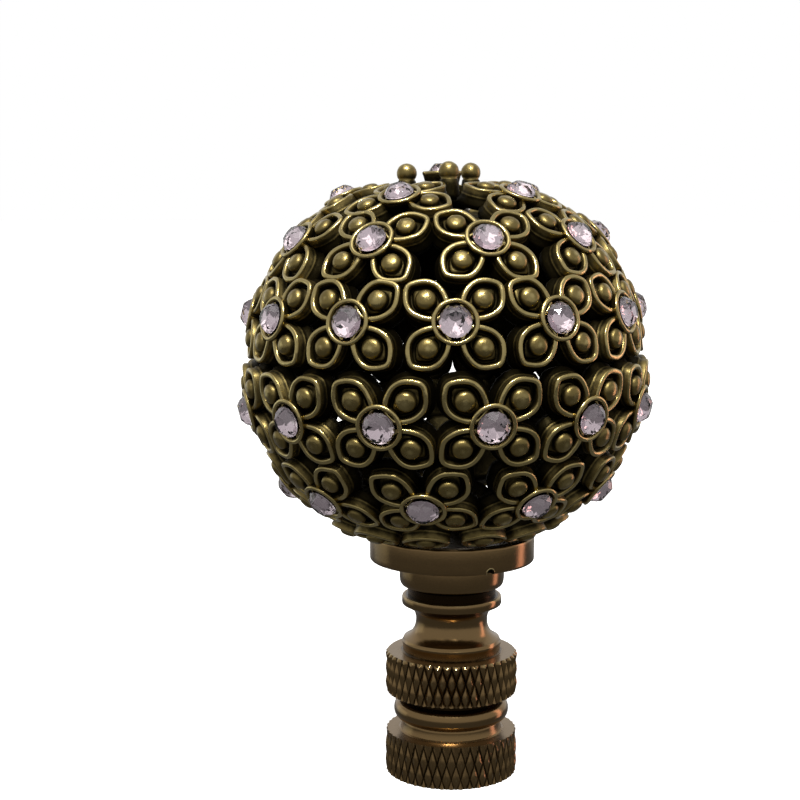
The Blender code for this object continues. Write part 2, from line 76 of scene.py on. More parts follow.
# Diamond knurl: diamonds around the disc, columns and rows of mesh in each of them
DIAMONDS_AROUND = 43
DIAMOND_STEPS = 6
DIAMOND_HEIGHT = 3.12
KNURL_PHASE_DEG = -1.0
UPPER_PEAK_HEIGHT = 12.49
LOWER_PEAK_HEIGHT = 0.99
KNURL_DEPTH_UPPER = 0.44
KNURL_DEPTH_LOWER = 0.32
KNURL_FLAT = 0.06
UPPER_CHAMFERS = (0.06, 0.29)
LOWER_CHAMFERS = (0.08, 0.10)
CHAMFER_SHARES = (0.0, 0.33, 0.67, 1.0)
CHAMFER_CLEARANCE = 0.06
BASE_COLUMNS = DIAMONDS_AROUND * DIAMOND_STEPS

# Second pass of the knurling wheel near the top of the lower disc: where it starts, the height over
# which it comes in, its shift in columns and rows as shares of a diamond, its peaks and its grooves
SECOND_PASS_HEIGHT = 2.9
SECOND_PASS_FADE = 0.5
SECOND_PASS_SHIFT = (0.5, 0.2)
SECOND_PASS_PEAK = 0.55
SECOND_PASS_GROOVE = 0.2

# Seat cup
SPIGOT_RADIUS = 4.55
COLLAR_BOTTOM = 19.75
COLLAR_RADIUS = 5.43
DRUM_BOTTOM = 22.50
DRUM_TOP = 25.20
DRUM_RADIUS = 8.50
RECESS_RADIUS = 7.58
RECESS_DEPTH = 0.92
CUP_COLUMNS = 120
CUP_SHARP_DEG = 40.0

# Vent in the drum's lower edge, and the lip that runs part of the way around it
VENT_AZIMUTH_DEG = 25.5
VENT_RADIUS = 0.41
VENT_RISE = 0.13
VENT_DRILL_DEPTH = 1.6
VENT_DRILL_SIDES = 20
VENT_LIP = 0.09
VENT_LIP_GAP = 0.02
VENT_LIP_START_DEG = -75.0
VENT_LIP_SWEEP_DEG = 185.0
VENT_LIP_SECTIONS = 15
VENT_LIP_SIDES = 8

# Pierced ball, in the same places as the solids
PATTERN_RADIUS = 20.05
UPPER_RADIUS = 20.05
LOWER_RADIUS = 20.56
UPPER_POLE_FLATTENING = 1.93
LOWER_POLE_FLATTENING = 1.90
FLATTENING_SHARPNESS = 6
BALL_CENTRE = (-0.83, 0.0, 43.32)
BALL_LEAN_X_DEG = -0.8
BALL_LEAN_Y_DEG = -1.1

# Rows of flowers from seam to pole: how many, latitude and first azimuth
UPPER_ROWS = ((12, 14.2, 1.9), (9, 38.1, 14.1), (5, 58.6, 47.0))
LOWER_ROWS = ((12, 12.9, 11.3), (9, 38.8, -9.1))
POLE_SIDE_BEARINGS_DEG = (40.0, 40.0, 58.0)
SEAM_SIDE_BEARINGS_DEG = (42.0, 40.0, 16.0)
TWISTS_DEG = (0.0, -3.0, 6.0)

# Pairs of petals around the cup
PAIR_COUNT = 6
PAIR_LATITUDE_DEG = 59.0
PAIR_AZIMUTH_DEG = -27.5
PAIR_TWIST_DEG = 4.0
PAIR_SLIDE = 0.75
PAIR_SPREAD = 1.021

# One flower: outline of a petal as reach and half width, and the place of its bead
PETAL_OUTLINE = ((1.05, 0.00), (1.12, 0.62), (1.55, 1.16), (2.20, 1.60), (2.95, 1.90), (3.70, 1.99),
                 (4.40, 1.83), (4.98, 1.44), (5.46, 0.90), (5.79, 0.36), (5.87, 0.00))
PETAL_BEAD_REACH = 3.46
PETAL_POINTS = 44
BEZEL_POINTS = 40

# Each ring of a petal: how far inside the outline, height over the ball's surface, and relief for the patina
PETAL_RINGS = ((0.10, -2.24, 0.00), (-0.54, -2.10, 0.00), (-0.56, -1.55, 0.00), (-0.20, -1.24, 0.03),
               (-0.15, -0.98, 0.12), (-0.13, -0.86, 0.35), (0.00, -0.74, 0.12), (0.00, -0.18, 0.50),
               (0.04, -0.07, 0.86), (0.12, 0.00, 1.00), (0.26, 0.02, 1.00), (0.40, 0.00, 1.00),
               (0.48, -0.07, 0.84), (0.53, -0.19, 0.40), (0.56, -0.60, 0.08), (0.60, -0.98, 0.00),
               (0.84, -0.98, 0.00), (0.90, -0.70, 0.10), (0.97, -0.60, 0.26))
PLATE_HEIGHT = -0.58
BEAD_RINGS = ((1.00, -0.56, 0.04), (0.98, -0.20, 0.22), (0.92, 0.00, 0.40), (0.79, 0.16, 0.60),
              (0.58, 0.27, 0.72), (0.32, 0.33, 0.74))
BEAD_TOP = 0.35
BEZEL_RINGS = ((1.60, -1.90, 0.00), (1.90, -1.20, 0.02), (2.04, -0.40, 0.10), (2.12, -0.02, 0.35),
               (2.19, 0.12, 0.66), (2.17, 0.25, 0.90), (2.09, 0.34, 1.00), (1.98, 0.38, 1.00),
               (1.87, 0.36, 1.00), (1.78, 0.28, 0.80), (1.71, 0.14, 0.30), (1.67, -0.06, 0.04),
               (1.35, -0.30, 0.00))
SEAT_FLOOR = -0.48

# Unevenness of the castings: reach, and how often it changes over a metre
CASTING_UNEVENNESS = ((0.035, 900.0), (0.014, 2700.0))
CASTING_SEED = 5

# Stones
STONE_RADIUS = 1.49
STONE_GIRDLE = 0.30
STONE_CROWN = 0.80
STONE_PAVILION = 0.66
STONE_SEED = 11
FOIL_SLOPE = -0.2

# Each ring of a stone's corners: share of its radius, height, how many, first one in steps, unevenness
STONE_RINGS = ((0.52, STONE_GIRDLE + STONE_CROWN, 8, 0.0, 0.02),
               (0.80, STONE_GIRDLE + STONE_CROWN * 0.58, 8, 0.5, 0.03),
               (1.00, STONE_GIRDLE + 0.05, 16, 0.0, 0.0),
               (1.00, STONE_GIRDLE - 0.03, 16, 0.0, 0.0),
               (0.62, STONE_GIRDLE - STONE_PAVILION * 0.52, 8, 0.0, 0.05),
               (0.30, STONE_GIRDLE - STONE_PAVILION * 0.84, 8, 0.5, 0.04))

# Crown: how far its bezel stands above the petals, its posts, and the arms that carry them
CROWN_LIFT = 0.42
POST_COUNT = 3
POST_AZIMUTH_DEG = 9.0
POST_RING_RADIUS = 3.82
POST_RADIUS = 1.00
POST_FOOT = -2.2
POST_SIDES = 24
POST_BALL_RADIUS = 1.02
POST_BALL_RISE = 0.61
POST_BALL_START_DEG = -40
POST_BALL_STEP_DEG = 16
ARM_START = 1.2
ARM_SECTION = ((-0.55, -2.1), (0.55, -2.1), (0.45, -0.75), (-0.45, -0.75))

# Brass in its recesses, on its faces and where it is rubbed
CAST_COLOURS = ((0.018, 0.014, 0.006), (0.225, 0.170, 0.062), (0.470, 0.375, 0.160))
TURNED_COLOURS = ((0.030, 0.018, 0.007), (0.225, 0.145, 0.064), (0.420, 0.330, 0.160))

# Camera as fitted to the photograph
CAMERA_PLACE = (-4.26, -166.5, 60.3)
CAMERA_PITCH_DEG = 7.30
CAMERA_ROLL_DEG = -0.13
CAMERA_LENS = 73.8
CAMERA_SHIFT_X = -0.0145
CAMERA_SENSOR = 36.0

# Stage in metres. Each shell has a radius, a band of heights, and its glow below and above that band
FLOOR_RADIUS = 3.0
SURROUND_SHELL = (3.2, (-0.25, -0.08), (0.30, 1.0))
REFLECTED_SHELL = (3.3, (-0.45, -0.02), (0.14, 0.56))
STUDIO_COLOUR = (1.0, 0.94, 0.84, 1.0)
STUDIO_STRENGTH = 0.20

# Lights: place, width and height, power and colour
LIGHT_AIM = (0.0, 0.0, 0.035)
LIGHTS = (
    ("overhead_soft", (-0.05, -0.14, 0.60), (0.55, 0.55), 1.4, (1.0, 0.98, 0.94)),
    ("lamp_left", (-0.08, -0.32, 0.54), (0.028, 0.028), 1.6, (1.0, 1.0, 0.97)),
    ("lamp_right", (0.02, -0.32, 0.54), (0.028, 0.028), 1.6, (1.0, 1.0, 0.97)),
    ("back_card", (0.0, 0.80, 0.30), (2.0, 1.1), 1.4, (1.0, 0.99, 0.95)),
    ("left_low", (-0.45, 0.25, 0.02), (0.35, 0.25), 0.12, (0.92, 1.0, 0.90)),
    ("right_warm", (0.42, 0.15, 0.05), (0.10, 0.40), 0.32, (1.0, 0.56, 0.50)),
)


def new_object(name, data):
    """Object in the scene, at the origin."""
    thing = bpy.data.objects.new(name, data)
    bpy.context.scene.collection.objects.link(thing)
    return thing


def finished_mesh(name, bm):
    """Mesh of a bmesh, which is freed."""
    mesh = bpy.data.meshes.new(name)
    bm.to_mesh(mesh)
    bm.free()
    return mesh


def smoothed_outline(samples):
    """Closed petal outline as complex numbers, evenly spaced along its length."""
    upper = [complex(reach, width) for reach, width in PETAL_OUTLINE]
    lower = [point.conjugate() for point in upper[-2:0:-1]]
    corners = upper + lower
    count = len(corners)
    dense = []
    for k in range(count):
        a, b, c, d = (corners[(k + step) % count] for step in (-1, 0, 1, 2))
        for step in range(8):
            t = step / 8.0
            dense.append(0.5 * (2 * b + (c - a) * t + (2 * a - 5 * b + 4 * c - d) * t * t
                                + (3 * b - a - 3 * c + d) * t * t * t))
    dense = np.array(dense + dense[:1])
    lengths = np.concatenate(([0.0], np.cumsum(np.abs(np.diff(dense)))))
    wanted = np.linspace(0.0, lengths[-1], samples, endpoint=False)
    return np.interp(wanted, lengths, dense.real) + 1j * np.interp(wanted, lengths, dense.imag)


class Relief:
    """Vertices, faces and relief of a mesh under construction, in flower coordinates."""

    def __init__(self):
        self.points = []
        self.relief = []
        self.faces = []

    def add_point(self, point, relief):
        self.points.append(point)
        self.relief.append(relief)
        return len(self.points) - 1

    def add_ring(self, plane_points, height, relief):
        return [self.add_point((point.real, point.imag, height), relief) for point in plane_points]

    def join(self, first, second):
        count = len(first)
        for k in range(count):
            after = (k + 1) % count
            self.faces.append((first[k], first[after], second[after], second[k]))

    def close(self, ring, apex):
        for k in range(len(ring)):
            self.faces.append((ring[k], ring[(k + 1) % len(ring)], apex))


def add_petal(form, bearing, slide=0.0):
    """Petal with a wall, a rounded rim, a deep groove and a plate that carries a domed bead."""
    turn = complex(math.cos(bearing), math.sin(bearing))
    outline = smoothed_outline(PETAL_POINTS)
    rays = outline - PETAL_BEAD_REACH
    reach = np.abs(rays)
    along = np.roll(outline, -1) - np.roll(outline, 1)
    slant = np.abs((along / np.abs(along) * np.conj(rays / reach)).imag)
    shrink = np.minimum(1.0 / np.maximum(slant, 0.2), 1.5)
    rings = []
    for inset, height, relief in PETAL_RINGS:
        ring = PETAL_BEAD_REACH + rays * (1.0 - inset * shrink / reach)
        rings.append((ring, height, relief))
    plate_edge = rings[-1][0]
    base_circle = PETAL_BEAD_REACH + rays / reach
    rings.append((plate_edge * 0.45 + base_circle * 0.55, PLATE_HEIGHT, 0.20))
    for radius, height, relief in BEAD_RINGS:
        rings.append((PETAL_BEAD_REACH + rays / reach * radius, height, relief))
    placed = [form.add_ring((ring - slide) * turn, height, relief) for ring, height, relief in rings]
    for lower, upper in zip(placed, placed[1:]):
        form.join(lower, upper)
    centre = (PETAL_BEAD_REACH - slide) * turn
    form.close(placed[0][::-1], form.add_point((centre.real, centre.imag, PETAL_RINGS[0][1]), 0.0))
    form.close(placed[-1], form.add_point((centre.real, centre.imag, BEAD_TOP), 1.0))


def add_bezel(form):
    """Raised ring around the stone, with a conical seat."""
    circle = np.exp(2j * np.pi * np.arange(BEZEL_POINTS) / BEZEL_POINTS)
    placed = [form.add_ring(circle * radius, height, relief) for radius, height, relief in BEZEL_RINGS]
    for lower, upper in zip(placed, placed[1:]):
        form.join(lower, upper)
    form.close(placed[0][::-1], form.add_point((0.0, 0.0, BEZEL_RINGS[0][1]), 0.0))
    form.close(placed[-1], form.add_point((0.0, 0.0, SEAT_FLOOR), 0.0))


def shell_radius(half, direction_z):
    """Radius of the ball in a direction: a sphere that flattens towards its pole."""
    radius, flattening = UPPER_RADIUS, UPPER_POLE_FLATTENING
    if half < 0:
        radius, flattening = LOWER_RADIUS, LOWER_POLE_FLATTENING
    return radius - flattening * np.abs(direction_z) ** FLATTENING_SHARPNESS


def wrap(points, half, latitude, azimuth=0.0):
    """Lays flower coordinates (east, towards the pole, outwards) over the ball."""
    points = np.asarray(points, dtype=float)
    outward = np.array((math.cos(latitude) * math.sin(azimuth), -math.cos(latitude) * math.cos(azimuth),
                        half * math.sin(latitude)))
    eastward = np.array((math.cos(azimuth), math.sin(azimuth), 0.0))
    poleward = np.array((-math.sin(latitude) * math.sin(azimuth), math.sin(latitude) * math.cos(azimuth),
                         half * math.cos(latitude)))
    span = np.maximum(np.hypot(points[:, 0], points[:, 1]), 1e-9)
    angle = span / PATTERN_RADIUS
    bearing = (np.outer(points[:, 0], eastward) + np.outer(points[:, 1], poleward)) / span[:, None]
    direction = np.outer(np.cos(angle), outward) + bearing * np.sin(angle)[:, None]
    return direction * (shell_radius(half, direction[:, 2]) + points[:, 2])[:, None]


def ball_matrix():
    """Place and lean of the ball on its cup."""
    lean_x = Matrix.Rotation(math.radians(BALL_LEAN_X_DEG), 4, "X")
    lean_y = Matrix.Rotation(math.radians(BALL_LEAN_Y_DEG), 4, "Y")
    return Matrix.Translation(Vector(BALL_CENTRE) * MM) @ lean_y @ lean_x


def mesh_object(name, points, faces, relief):
    """Smooth object from points in millimetres, with outward faces and the relief as an attribute."""
    mesh = bpy.data.meshes.new(name)
    mesh.from_pydata((np.asarray(points) * MM).tolist(), [], faces)
    attribute = mesh.attributes.new("relief", "FLOAT", "POINT")
    attribute.data.foreach_set("value", np.asarray(relief, dtype=np.float32))
    bm = bmesh.new()
    bm.from_mesh(mesh)
    bmesh.ops.recalc_face_normals(bm, faces=bm.faces)
    bm.to_mesh(mesh)
    bm.free()
    mesh.shade_smooth()
    return new_object(name, mesh)


def flower_object(name, half, latitude_deg, row):
    """One flower of a row, lying over the ball at the front."""
    form = Relief()
    pole_side, seam_side = POLE_SIDE_BEARINGS_DEG[row], SEAM_SIDE_BEARINGS_DEG[row]
    for bearing in (pole_side, 180.0 - pole_side, 180.0 + seam_side, 360.0 - seam_side):
        add_petal(form, math.radians(bearing + TWISTS_DEG[row]))
    add_bezel(form)
    points = wrap(form.points, half, math.radians(latitude_deg))
    return mesh_object(name, points, form.faces, form.relief)


def pair_object(name):
    """Two petals back to back, lying over the lower half at the front."""
    form = Relief()
    for bearing in (PAIR_TWIST_DEG, 180.0 + PAIR_TWIST_DEG):
        add_petal(form, math.radians(bearing), PAIR_SLIDE)
    points = wrap(form.points, -1, math.radians(PAIR_LATITUDE_DEG)) * PAIR_SPREAD
    return mesh_object(name, points, form.faces, form.relief)


def ring_tree():
    """Geometry Nodes: copies of a part in a ring around the ball's axis."""
    tree = bpy.data.node_groups.new("ring_of_copies", "GeometryNodeTree")
    face = tree.interface
    face.new_socket("Geometry", in_out="INPUT", socket_type="NodeSocketGeometry")
    face.new_socket("Part", in_out="INPUT", socket_type="NodeSocketObject")
    face.new_socket("Count", in_out="INPUT", socket_type="NodeSocketInt")
    face.new_socket("First bearing", in_out="INPUT", socket_type="NodeSocketFloat")
    face.new_socket("Finish", in_out="INPUT", socket_type="NodeSocketMaterial")
    face.new_socket("Geometry", in_out="OUTPUT", socket_type="NodeSocketGeometry")
    nodes, links = tree.nodes, tree.links
    given = nodes.new("NodeGroupInput")
    result = nodes.new("NodeGroupOutput")
    line = nodes.new("GeometryNodeMeshLine")
    line.inputs["Offset"].default_value = (0.0, 0.0, 0.0)
    part = nodes.new("GeometryNodeObjectInfo")
    index = nodes.new("GeometryNodeInputIndex")
    share = nodes.new("ShaderNodeMath")
    share.operation = "DIVIDE"
    turn = nodes.new("ShaderNodeMath")
    turn.operation = "MULTIPLY_ADD"
    turn.inputs[1].default_value = 2.0 * math.pi
    rotation = nodes.new("ShaderNodeCombineXYZ")
    copies = nodes.new("GeometryNodeInstanceOnPoints")
    real = nodes.new("GeometryNodeRealizeInstances")
    finish = nodes.new("GeometryNodeSetMaterial")
    links.new(given.outputs["Part"], part.inputs["Object"])
    links.new(given.outputs["Count"], line.inputs["Count"])
    links.new(index.outputs["Index"], share.inputs[0])
    links.new(given.outputs["Count"], share.inputs[1])
    links.new(share.outputs[0], turn.inputs[0])
    links.new(given.outputs["First bearing"], turn.inputs[2])
    links.new(turn.outputs[0], rotation.inputs["Z"])
    links.new(line.outputs["Mesh"], copies.inputs["Points"])
    links.new(part.outputs["Geometry"], copies.inputs["Instance"])
    links.new(rotation.outputs[0], copies.inputs["Rotation"])
    links.new(copies.outputs["Instances"], real.inputs["Geometry"])
    links.new(real.outputs["Geometry"], finish.inputs["Geometry"])
    links.new(given.outputs["Finish"], finish.inputs["Material"])
    links.new(finish.outputs["Geometry"], result.inputs["Geometry"])
    return tree


def input_identifiers(tree):
    """Identifier of each named input of a tree."""
    return {item.name: item.identifier for item in tree.interface.items_tree if item.in_out == "INPUT"}


def ring_of(tree, part, count, first_bearing_deg, material):
    """Plain mesh of the copies, with the modifier already gone."""
    carrier = new_object("carrier", bpy.data.meshes.new("carrier"))
    modifier = carrier.modifiers.new("Ring", "NODES")
    modifier.node_group = tree
    names = input_identifiers(tree)
    modifier[names["Part"]] = part
    modifier[names["Count"]] = count
    modifier[names["First bearing"]] = math.radians(first_bearing_deg)
    modifier[names["Finish"]] = material
    evaluated = carrier.evaluated_get(bpy.context.evaluated_depsgraph_get())
    mesh = bpy.data.meshes.new_from_object(evaluated)
    bpy.data.objects.remove(carrier, do_unlink=True)
    bpy.data.objects.remove(part, do_unlink=True)
    return mesh


def join_meshes(name, meshes, material):
    """One object of several meshes that already share their place and attributes."""
    bm = bmesh.new()
    for mesh in meshes:
        bm.from_mesh(mesh)
        bpy.data.meshes.remove(mesh)
    for face in bm.faces:
        face.smooth = True
        face.material_index = 0
    joined = finished_mesh(name, bm)
    joined.materials.append(material)
    return new_object(name, joined)


def roughen(mesh, reach, scale):
    """Small unevenness of a casting, as real displacement of the points."""
    noise.seed_set(CASTING_SEED)
    points = np.empty(len(mesh.vertices) * 3, dtype=np.float32)
    mesh.vertices.foreach_get("co", points)
    points = points.reshape(-1, 3)
    shifts = np.array([noise.noise_vector(Vector(point) * scale) for point in points])
    mesh.vertices.foreach_set("co", (points + shifts * reach).ravel().astype(np.float32))
    mesh.update()


def crown_post(azimuth_deg):
    """Post with a ball head beside the crown stone."""
    surface = float(shell_radius(1, 1.0))
    profile = [(1.05, POST_FOOT, 0.0), (POST_RADIUS, -1.6, 0.05), (POST_RADIUS * 0.98, -0.6, 0.08),
               (POST_RADIUS * 0.90, -0.16, 0.12)]
    for angle_deg in range(POST_BALL_START_DEG, 90, POST_BALL_STEP_DEG):
        angle = math.radians(angle_deg)
        spread = POST_BALL_RADIUS * math.cos(angle)
        rise = POST_BALL_RISE + POST_BALL_RADIUS * math.sin(angle)
        profile.append((spread, rise, 0.45 + 0.55 * max(0.0, math.sin(angle))))
    form = Relief()
    circle = np.exp(2j * np.pi * np.arange(POST_SIDES) / POST_SIDES)
    azimuth = math.radians(azimuth_deg)
    place = POST_RING_RADIUS * complex(math.sin(azimuth), -math.cos(azimuth))
    rings = [form.add_ring(place + circle * radius, surface + height, relief)
             for radius, height, relief in profile]
    for lower, upper in zip(rings, rings[1:]):
        form.join(lower, upper)
    foot, top = surface + POST_FOOT, surface + (POST_BALL_RISE + POST_BALL_RADIUS)
    form.close(rings[0][::-1], form.add_point((place.real, place.imag, foot), 0.0))
    form.close(rings[-1], form.add_point((place.real, place.imag, top), 1.0))
    return form


def crown_mesh():
    """Bezel of the crown stone, its three arms and its three ball headed posts."""
    form = Relief()
    add_bezel(form)
    lift = np.array((0.0, 0.0, CROWN_LIFT))
    points = [tuple(point) for point in wrap(form.points, 1, math.radians(90.0)) + lift]
    relief = list(form.relief)
    faces = list(form.faces)
    surface = float(shell_radius(1, 1.0))
    for step in range(POST_COUNT):
        azimuth_deg = POST_AZIMUTH_DEG + 360.0 * step / POST_COUNT
        post = crown_post(azimuth_deg)
        offset = len(points)
        points += post.points
        relief += post.relief
        faces += [tuple(corner + offset for corner in face) for face in post.faces]
        azimuth = math.radians(azimuth_deg)
        along = np.array((math.sin(azimuth), -math.cos(azimuth)))
        across = np.array((math.cos(azimuth), math.sin(azimuth)))
        offset = len(points)
        for reach in (ARM_START, POST_RING_RADIUS):
            for side, height in ARM_SECTION:
                spot = along * reach + across * side
                points.append((spot[0], spot[1], surface + height))
                relief.append(0.1)
        quads = ((0, 1, 2, 3), (7, 6, 5, 4), (0, 4, 5, 1), (1, 5, 6, 2), (2, 6, 7, 3), (3, 7, 4, 0))
        faces += [tuple(corner + offset for corner in quad) for quad in quads]
    thing = mesh_object("crown", points, faces, relief)
    mesh = thing.data
    bpy.data.objects.remove(thing, do_unlink=True)
    return mesh


def filigree_half(name, half, rows, tree, material, extra=()):
    """One cast half shell: its rings of flowers and what else is cast with them."""
    meshes = []
    for row, (count, latitude, azimuth) in enumerate(rows):
        flower = flower_object("flower", half, latitude, row)
        meshes.append(ring_of(tree, flower, count, azimuth, material))
    meshes += extra
    thing = join_meshes(name, meshes, material)
    for reach, scale in CASTING_UNEVENNESS:
        roughen(thing.data, reach * MM, scale)
    thing.data.transform(ball_matrix())
    return thing


def add_stone(bm, half, latitude, azimuth, chance, lift=0.0):
    """Brilliant cut crown over a foiled pavilion, set in one bezel."""
    gem = bmesh.new()
    spin = chance.uniform(0.0, math.pi)
    for share, height, count, start, unevenness in STONE_RINGS:
        radius = STONE_RADIUS * share
        for k in range(count):
            angle = 2.0 * math.pi * (k + start) / count + spin
            rise = height + chance.uniform(-unevenness, unevenness)
            gem.verts.new((radius * math.cos(angle), radius * math.sin(angle), rise))
    gem.verts.new((0.0, 0.0, STONE_GIRDLE - STONE_PAVILION))
    hull = bmesh.ops.convex_hull(gem, input=gem.verts)
    inner = [item for item in hull["geom_interior"] if isinstance(item, bmesh.types.BMVert)]
    bmesh.ops.delete(gem, geom=inner, context="VERTS")
    gem.normal_update()
    faces = list(gem.faces)
    corners = np.array([vert.co for vert in gem.verts])
    gem.verts.index_update()
    placed = (wrap(corners, half, latitude, azimuth) + np.array((0.0, 0.0, lift))) * MM
    verts = [bm.verts.new(point) for point in placed]
    for face in faces:
        order = [vert.index for vert in face.verts]
        if half < 0:
            order.reverse()
        made = bm.faces.new([verts[k] for k in order])
        made.material_index = 1 if face.normal.z < FOIL_SLOPE else 0
    gem.free()


def stones(name, half, rows, glass, foil, crown=False):
    """All stones of one half, as one object."""
    bm = bmesh.new()
    chance = np.random.default_rng(STONE_SEED + half)
    for count, latitude, azimuth in rows:
        for k in range(count):
            bearing = math.radians(azimuth + 360.0 * k / count)
            add_stone(bm, half, math.radians(latitude), bearing, chance)
    if crown:
        add_stone(bm, 1, math.radians(90.0), 0.0, chance, CROWN_LIFT)
    mesh = finished_mesh(name, bm)
    mesh.materials.append(glass)
    mesh.materials.append(foil)
    mesh.transform(ball_matrix())
    return new_object(name, mesh)


def knurl_height(column, row):
    """Height of the diamonds, 0 in the grooves and 1 on the peaks."""
    rising = (column + row) % DIAMOND_STEPS
    falling = (column - row) % DIAMOND_STEPS
    half_step = DIAMOND_STEPS / 2.0
    return min(min(rising, DIAMOND_STEPS - rising), min(falling, DIAMOND_STEPS - falling)) / half_step


def disc_rows(bottom, top, depth, peak_height, chamfers, second_pass=None):
    """Rows of a knurled disc from its lower face to its upper face, with a small chamfer at both."""
    step = DIAMOND_HEIGHT / DIAMOND_STEPS
    low_chamfer, high_chamfer = chamfers
    heights = {round(bottom + low_chamfer * share, 4) for share in CHAMFER_SHARES}
    heights |= {round(top - high_chamfer * share, 4) for share in CHAMFER_SHARES}
    for k in range(-4 * DIAMOND_STEPS, 4 * DIAMOND_STEPS):
        height = peak_height + k * step
        if bottom + low_chamfer + CHAMFER_CLEARANCE < height < top - high_chamfer - CHAMFER_CLEARANCE:
            heights.add(round(height, 4))
    rows = []
    for height in sorted(heights):
        limit = DISC_RADIUS - max(0.0, low_chamfer - (height - bottom), high_chamfer - (top - height))
        rows.append(dict(radius=DISC_RADIUS, height=height, relief=0.75, knurl=depth, limit=limit,
                         row=(height - peak_height) / step, second_pass=second_pass))
    return rows


def knurled_radius(column, entry):
    """Radius and relief at one column of a knurled row."""
    peak = knurl_height(column, entry["row"])
    if entry["second_pass"] is not None:
        blend = min(1.0, max(0.0, (entry["height"] - entry["second_pass"]) / SECOND_PASS_FADE))
        column_shift, row_shift = SECOND_PASS_SHIFT
        second = knurl_height(column + DIAMOND_STEPS * column_shift, entry["row"] + DIAMOND_STEPS * row_shift)
        peak = min(peak, 1.0 - blend * (1.0 - SECOND_PASS_PEAK * second - SECOND_PASS_GROOVE))
    radius = entry["radius"] + KNURL_FLAT - entry["knurl"] * (1.0 - peak)
    if radius > entry["limit"]:
        return entry["limit"], 0.9
    return radius, peak * 0.9


def plain_row(radius, height, relief, thread=0.0):
    return dict(radius=radius, height=height, relief=relief, knurl=0.0, thread=thread)


def plain_rows(*profile):
    """Rows without a knurl, from (radius, height, relief)."""
    return [plain_row(*entry) for entry in profile]


def bore_rows():
    """Blind end of the bore, and its thread, which fades out towards the mouth."""
    rows = plain_rows((BORE_RADIUS * 0.5, BORE_DEPTH, 0.0), (BORE_RADIUS - 0.30, BORE_DEPTH - 0.10, 0.0))
    steps = int((BORE_DEPTH - THREAD_UNCUT) / (THREAD_PITCH / THREAD_ROWS_PER_TURN))
    for k in range(steps + 1):
        height = BORE_DEPTH - THREAD_END_GAP - k * THREAD_PITCH / THREAD_ROWS_PER_TURN
        fade = min(1.0, (height - THREAD_END_GAP) / THREAD_FADE)
        rows.append(plain_row(BORE_RADIUS, height, 0.25, max(0.0, fade)))
    return rows


def base_rows():
    """Profile of the turned base from the blind end of the bore, out over the underside and up to the top."""
    rows = bore_rows()
    rows += plain_rows((BORE_RADIUS + 0.22, 0.02, 0.5), (BORE_RADIUS + 0.26, 0.0, 0.6), (5.2, 0.0, 0.5))
    rows += disc_rows(0.0, LOWER_DISC_TOP, KNURL_DEPTH_LOWER, LOWER_PEAK_HEIGHT, LOWER_CHAMFERS,
                      SECOND_PASS_HEIGHT)
    rows += plain_rows((DISC_RADIUS - 0.52, LOWER_DISC_TOP + 0.005, 0.5), (5.9, LOWER_DISC_TOP, 0.5),
                       (5.45, LOWER_DISC_TOP + 0.02, 0.2), (5.28, LOWER_DISC_TOP + 0.14, 0.25),
                       (5.17, LOWER_DISC_TOP + 0.45, 0.45), (5.12, LOWER_DISC_TOP + 0.85, 0.5),
                       (5.11, LOWER_DISC_TOP + 1.02, 0.4), (5.06, LOWER_DISC_TOP + 1.10, 0.05))
    for k in range(int(BEAD_STEPS) + 1):
        angle = math.radians(-BEAD_SWEEP_DEG + 2.0 * BEAD_SWEEP_DEG * k / BEAD_STEPS)
        rows.append(plain_row(NECK_RADIUS + (BEAD_RADIUS - NECK_RADIUS) * math.cos(angle),
                              BEAD_MIDDLE + BEAD_HALF_HEIGHT * math.sin(angle), 0.6))
    rows += plain_rows((5.06, UPPER_DISC_BOTTOM - 0.75, 0.0), (5.04, UPPER_DISC_BOTTOM - 0.12, 0.0),
                       (5.12, UPPER_DISC_BOTTOM, 0.0), (5.9, UPPER_DISC_BOTTOM, 0.2))
    rows += disc_rows(UPPER_DISC_BOTTOM, UPPER_DISC_TOP, KNURL_DEPTH_UPPER, UPPER_PEAK_HEIGHT, UPPER_CHAMFERS)
    rows += plain_rows((DISC_RADIUS - 0.56, UPPER_DISC_TOP + 0.005, 0.5), (5.8, UPPER_DISC_TOP, 0.5),
                       (5.16, UPPER_DISC_TOP, 0.1), (5.06, UPPER_DISC_TOP + 0.08, 0.1),
                       (5.05, UPPER_DISC_TOP + 0.62, 0.4), (FOOT_RING_RADIUS, UPPER_DISC_TOP + 0.76, 0.7),
                       (FOOT_RING_RADIUS, FOOT_RING_TOP - 0.12, 0.75),
                       (FOOT_RING_RADIUS - 0.08, FOOT_RING_TOP, 0.75))
    cove_height = FLANGE_BOTTOM - FOOT_RING_TOP
    for share, radius in COVE_PROFILE:
        rows.append(plain_row(radius, FOOT_RING_TOP + cove_height * share, 0.5))
    rows += plain_rows((4.93, FLANGE_BOTTOM + 0.01, 0.6), (FLANGE_RADIUS - 0.05, FLANGE_BOTTOM + 0.09, 0.8),
                       (FLANGE_RADIUS, FLANGE_BOTTOM + 0.22, 0.6), (FLANGE_RADIUS, BASE_TOP - 0.26, 0.7),
                       (FLANGE_RADIUS - 0.04, BASE_TOP - 0.10, 0.8),
                       (FLANGE_RADIUS - 0.10, BASE_TOP - 0.03, 0.95),
                       (FLANGE_RADIUS - 0.20, BASE_TOP, 0.30), (4.7, BASE_TOP, 0.0), (3.0, BASE_TOP, 0.0))
    return rows


